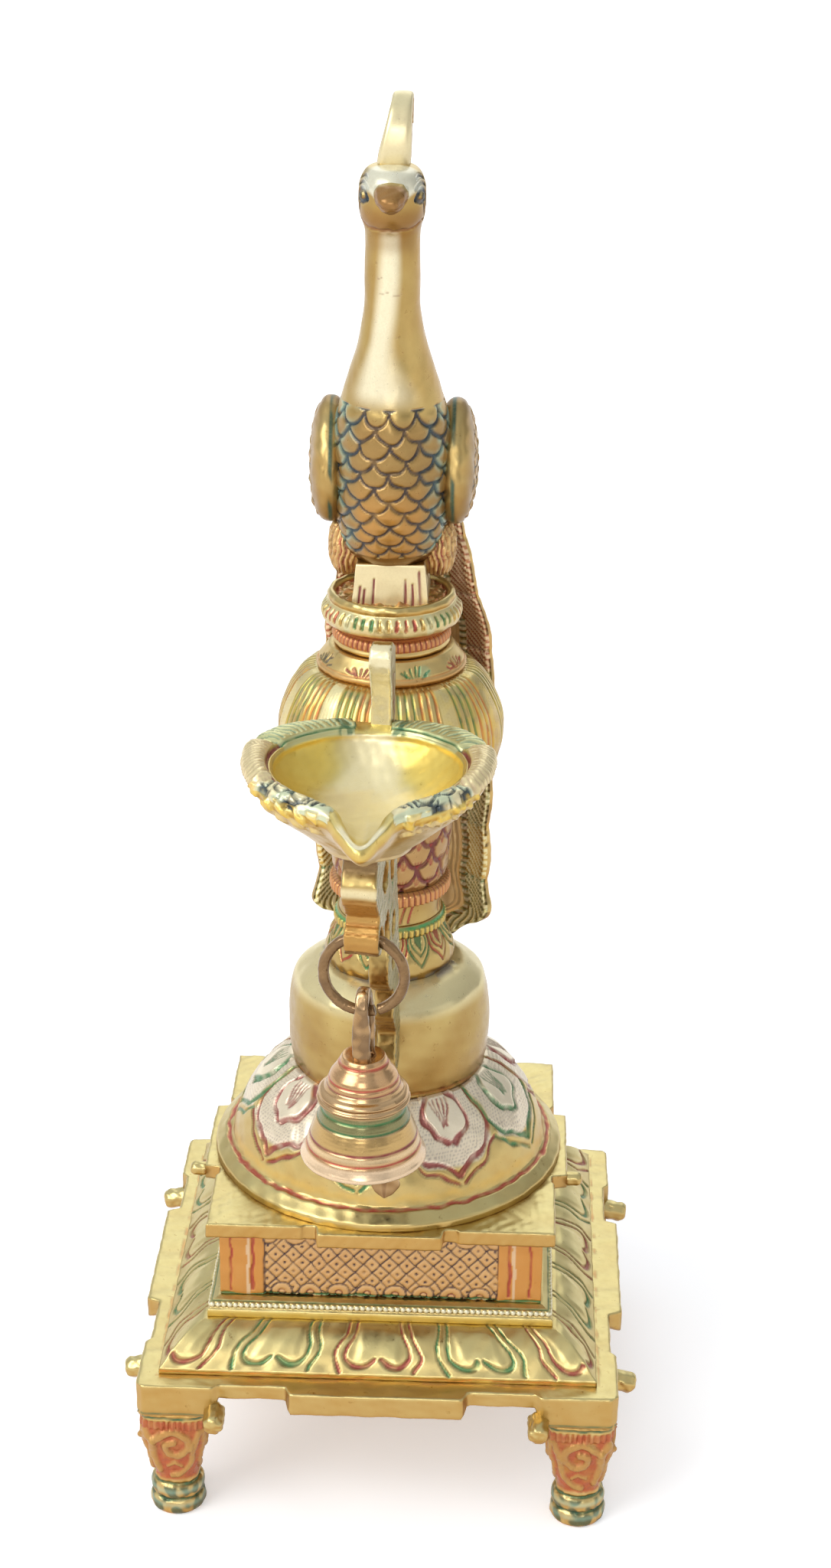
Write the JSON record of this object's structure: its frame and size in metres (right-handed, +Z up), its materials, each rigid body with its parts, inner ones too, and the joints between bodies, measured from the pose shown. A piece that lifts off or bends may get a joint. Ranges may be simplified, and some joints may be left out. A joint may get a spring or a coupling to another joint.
{
  "type": "peacock oil lamp",
  "caption": "Cast brass oil lamp: a peacock on a ribbed pot and turned column over a square footed base, with a bracket that holds an open oil bowl and a hanging bell.",
  "frame": {"origin": "centre of the lamp's overall box, on the surface that its four legs stand on", "axes": "+Z up, -Y towards the oil bowl and the peacock's face, +X to the viewer's right"},
  "size_m": [0.1642, 0.203, 0.4339],
  "materials": {
    "pale_brass": "satin cast brass with worn coloured enamel in the engraving",
    "gold_brass": "polished golden brass with engraved lines",
    "basin_brass": "smooth bright yellow brass",
    "copper_brass": "smooth reddish brass",
    "painted_brass": "brass with translucent red, orange and green enamel",
    "steel": "plain bright steel"
  },
  "bodies": {
    "lamp": {"base_plate": "pale_brass", "leg_front_left": "painted_brass", "leg_front_right": "painted_brass", "leg_back_left": "painted_brass", "leg_back_right": "painted_brass", "leg_screw_front_left": "steel", "leg_screw_front_right": "steel", "leg_screw_back_left": "steel", "leg_screw_back_right": "steel", "petal_slope": "pale_brass", "bead_moulding": "pale_brass", "lattice_box": "painted_brass", "top_plate": "pale_brass", "lotus_disc": "pale_brass", "drum": "gold_brass", "column_foot": "gold_brass", "column_bead_ring": "gold_brass", "column_waist": "gold_brass", "column_rib_ring": "painted_brass", "column_calyx": "gold_brass", "pot": "pale_brass", "pot_flange": "painted_brass", "neck_ring": "painted_brass", "collar": "pale_brass", "foot_block": "gold_brass", "peacock_body": "gold_brass", "wing_left": "pale_brass", "wing_right": "pale_brass", "crest": "pale_brass", "tail": "painted_brass", "bracket": "gold_brass", "arm_screw_lower": "steel", "arm_screw_upper": "steel", "oil_bowl": "basin_brass", "tie_rod": "steel", "tie_washer": "steel", "tie_nut": "steel"},
    "ring": {"bell_ring": "copper_brass"},
    "bell": {"bell_loop": "copper_brass", "bell": "copper_brass"},
    "clapper": {"clapper": "copper_brass"}
  },
  "joints": [
    {"name": "ring_swing", "type": "hinge", "parent": "lamp", "child": "ring", "pos_m": [-0.00397, -0.05636, 0.2086], "axis": [0.9914, -0.1305, 0], "range_deg": [-60, 6]},
    {"name": "bell_swing", "type": "hinge", "parent": "ring", "child": "bell", "pos_m": [-0.00397, -0.05636, 0.1848], "axis": [0.9914, -0.1305, 0], "range_deg": [-50, 8]},
    {"name": "clapper_swing", "type": "hinge", "parent": "bell", "child": "clapper", "pos_m": [-0.00397, -0.05636, 0.1641], "axis": [0.9914, -0.1305, 0], "range_deg": [-21, 21]}
  ]
}
